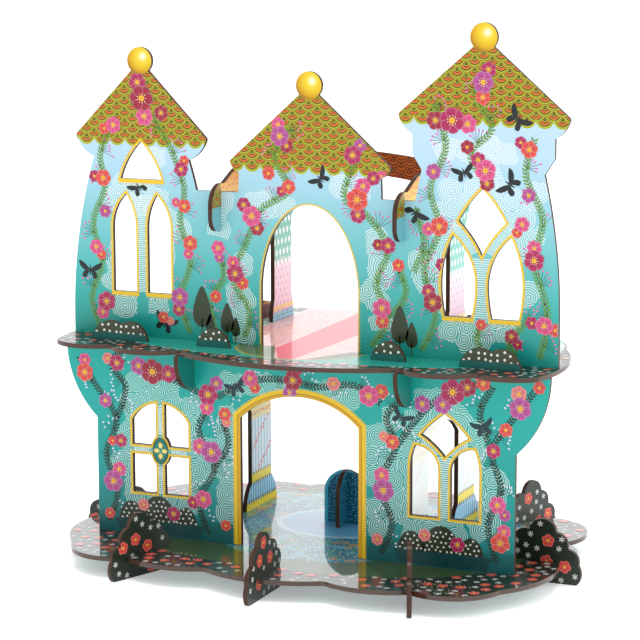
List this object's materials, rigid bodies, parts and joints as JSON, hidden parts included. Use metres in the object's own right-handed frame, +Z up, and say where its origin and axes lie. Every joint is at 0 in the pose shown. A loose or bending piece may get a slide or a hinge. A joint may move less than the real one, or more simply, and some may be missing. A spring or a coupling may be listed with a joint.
{
  "type": "slot-together cardboard toy castle",
  "caption": "Toy castle of flat printed boards slotted together without glue, two open storeys, towers with gabled roofs, arched doors and windows, on bush-shaped feet.",
  "frame": {"origin": "on the ground below the centre of the bounding box", "axes": "+Z up, the front walls face -Y, +X to the right as seen from the front"},
  "size_m": [0.352, 0.264, 0.3535],
  "materials": {
    "upper_wall": "gloss laminated print over grey board",
    "lower_wall": "gloss laminated print over grey board",
    "base_board": "gloss laminated print over grey board",
    "middle_floor": "gloss laminated print over grey board",
    "lower_cross_wall": "gloss laminated print over grey board",
    "upper_cross_wall": "gloss laminated print over grey board",
    "roof_band": "gloss laminated print over grey board",
    "bush_foot": "gloss laminated print over grey board",
    "pond_board": "gloss laminated print over grey board"
  },
  "bodies": {
    "root": {"base_board": "base_board", "bush_foot_front_centre": "bush_foot", "bush_foot_front_left": "bush_foot", "bush_foot_front_right": "bush_foot", "bush_foot_rear_left": "bush_foot", "bush_foot_rear_right": "bush_foot", "bush_foot_side_left": "bush_foot", "bush_foot_side_right": "bush_foot", "lower_front_wall": "lower_wall", "lower_left_cross_wall": "lower_cross_wall", "lower_right_cross_wall": "lower_cross_wall", "middle_floor": "middle_floor", "pond_board": "pond_board", "pond_cross_board": "pond_board", "rear_roof_band": "roof_band", "upper_front_wall": "upper_wall", "upper_left_cross_wall": "upper_cross_wall", "upper_right_cross_wall": "upper_cross_wall"}
  },
  "joints": []
}
